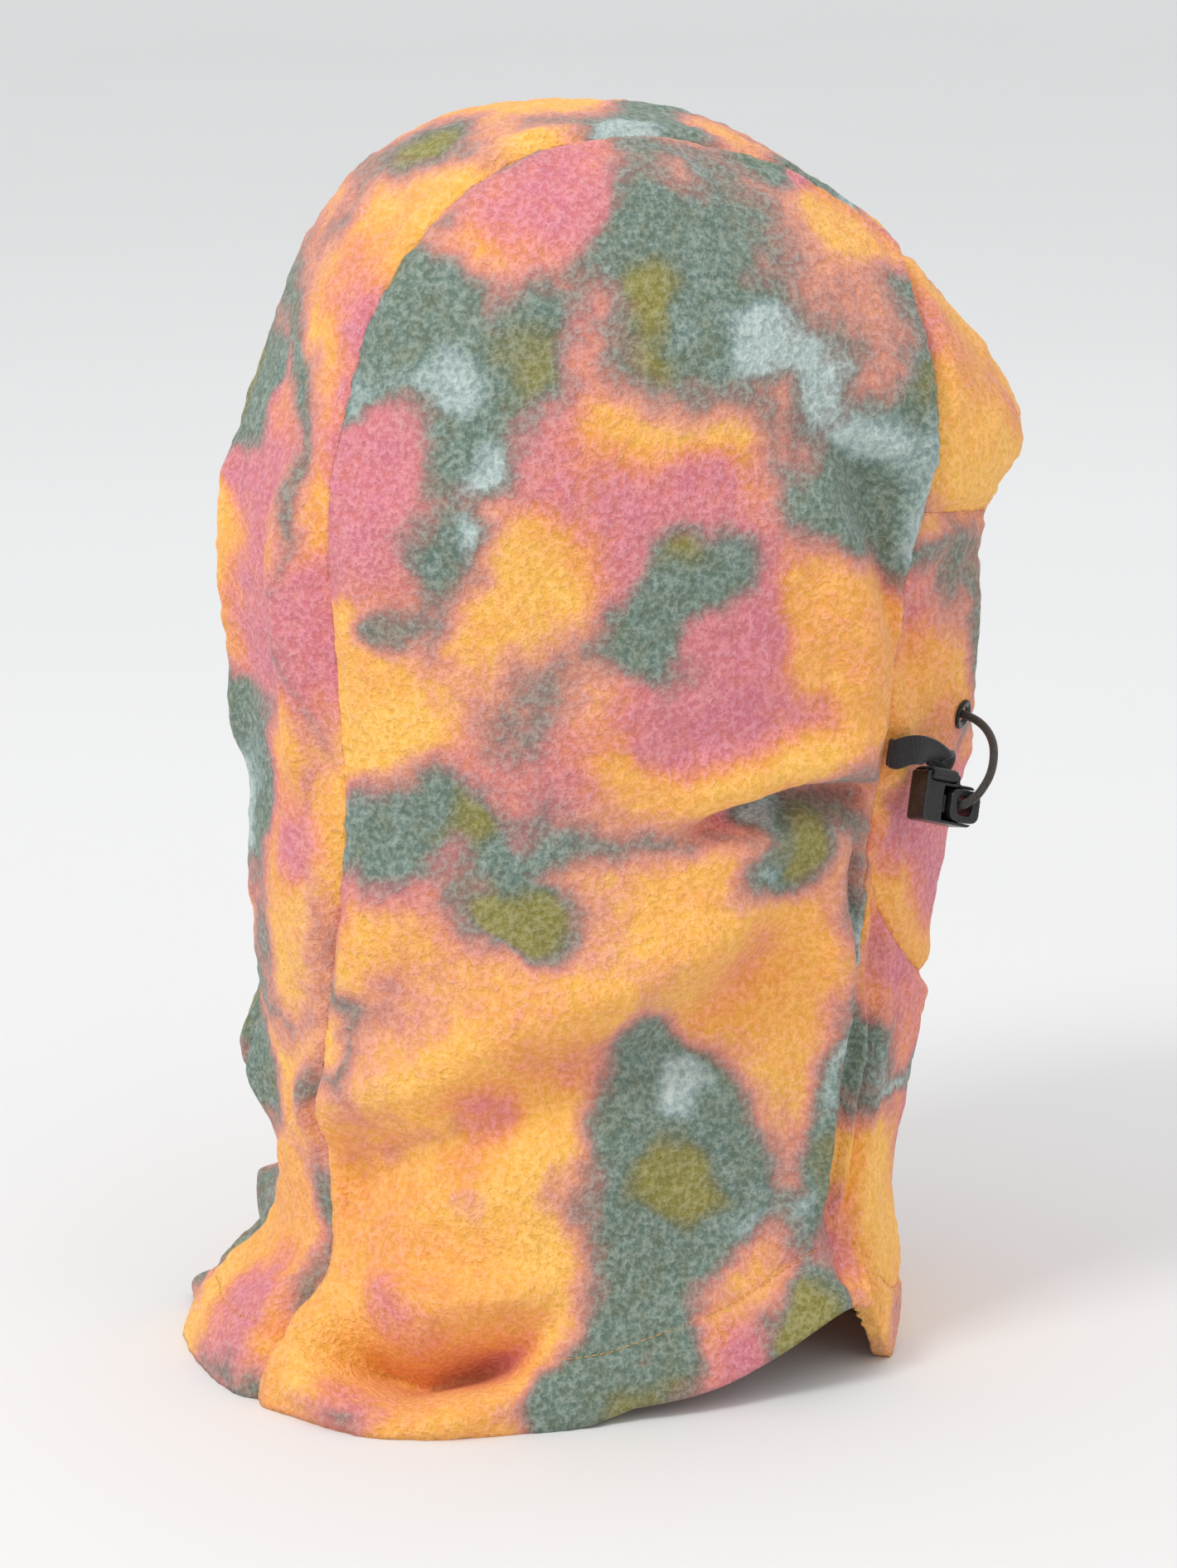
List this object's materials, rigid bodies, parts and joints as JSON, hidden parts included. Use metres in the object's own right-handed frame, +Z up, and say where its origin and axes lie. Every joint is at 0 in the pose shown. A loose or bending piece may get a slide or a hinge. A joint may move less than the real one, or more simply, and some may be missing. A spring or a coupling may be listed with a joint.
{
  "type": "balaclava",
  "caption": "Printed fleece hood that covers head, face sides and neck, with an oval face opening drawn in by a cord and spring cord locks.",
  "frame": {"origin": "on the ground under the middle of the hood's bounding box, where the hem stands", "axes": "+Z up to the crown, -Y out of the face opening, -X to the wearer's right"},
  "size_m": [0.1956, 0.272, 0.392],
  "materials": {
    "printed_fleece": "brushed pile, printed in soft patches",
    "facing": "brushed",
    "black_metal": "glossy black",
    "steel": "plain",
    "cord": "braided",
    "black_plastic": "semi-gloss",
    "tape": "ribbed grosgrain"
  },
  "bodies": {
    "hood": {"crown_panel": "printed_fleece", "side_panel_right": "printed_fleece", "side_panel_left": "printed_fleece", "brow_band": "printed_fleece", "chin_panel": "printed_fleece", "throat_panel": "printed_fleece", "casing_facing": "facing", "eyelet_right": "black_metal", "eyelet_left": "black_metal", "eyelet_washer_right": "steel", "eyelet_washer_left": "steel", "drawcord": "cord", "ribbon_right": "tape", "ribbon_left": "tape", "cord_loop_right": "cord", "cord_loop_left": "cord"},
    "lock_right": {"cord_lock_housing_right": "black_plastic", "cord_lock_spring_right": "steel"},
    "lock_left": {"cord_lock_housing_left": "black_plastic", "cord_lock_spring_left": "steel"},
    "plunger_right": {"cord_lock_plunger_right": "black_plastic"},
    "plunger_left": {"cord_lock_plunger_left": "black_plastic"}
  },
  "joints": [
    {"name": "lock_swing_right", "type": "hinge", "parent": "hood", "child": "lock_right", "pos_m": [-0.0815, -0.0624, 0.199], "axis": [0, 0, -1], "range_deg": [0, 25], "stiffness_Nm_per_rad": 0.01, "deforming": ["ribbon_right", "cord_loop_right"]},
    {"name": "lock_swing_left", "type": "hinge", "parent": "hood", "child": "lock_left", "pos_m": [0.0815, -0.0624, 0.199], "axis": [0, 0, 1], "range_deg": [0, 25], "stiffness_Nm_per_rad": 0.01, "deforming": ["ribbon_left", "cord_loop_left"]},
    {"name": "plunger_push_right", "type": "slide", "parent": "lock_right", "child": "plunger_right", "axis": [-0.12, 0.9553, 0.2701], "range_m": [0, 0.0022], "stiffness_N_per_m": 200, "springref_m": -0.004, "deforming": ["cord_lock_spring_right"]},
    {"name": "plunger_push_left", "type": "slide", "parent": "lock_left", "child": "plunger_left", "axis": [0.12, 0.9553, 0.2701], "range_m": [0, 0.0022], "stiffness_N_per_m": 200, "springref_m": -0.004, "deforming": ["cord_lock_spring_left"]}
  ]
}
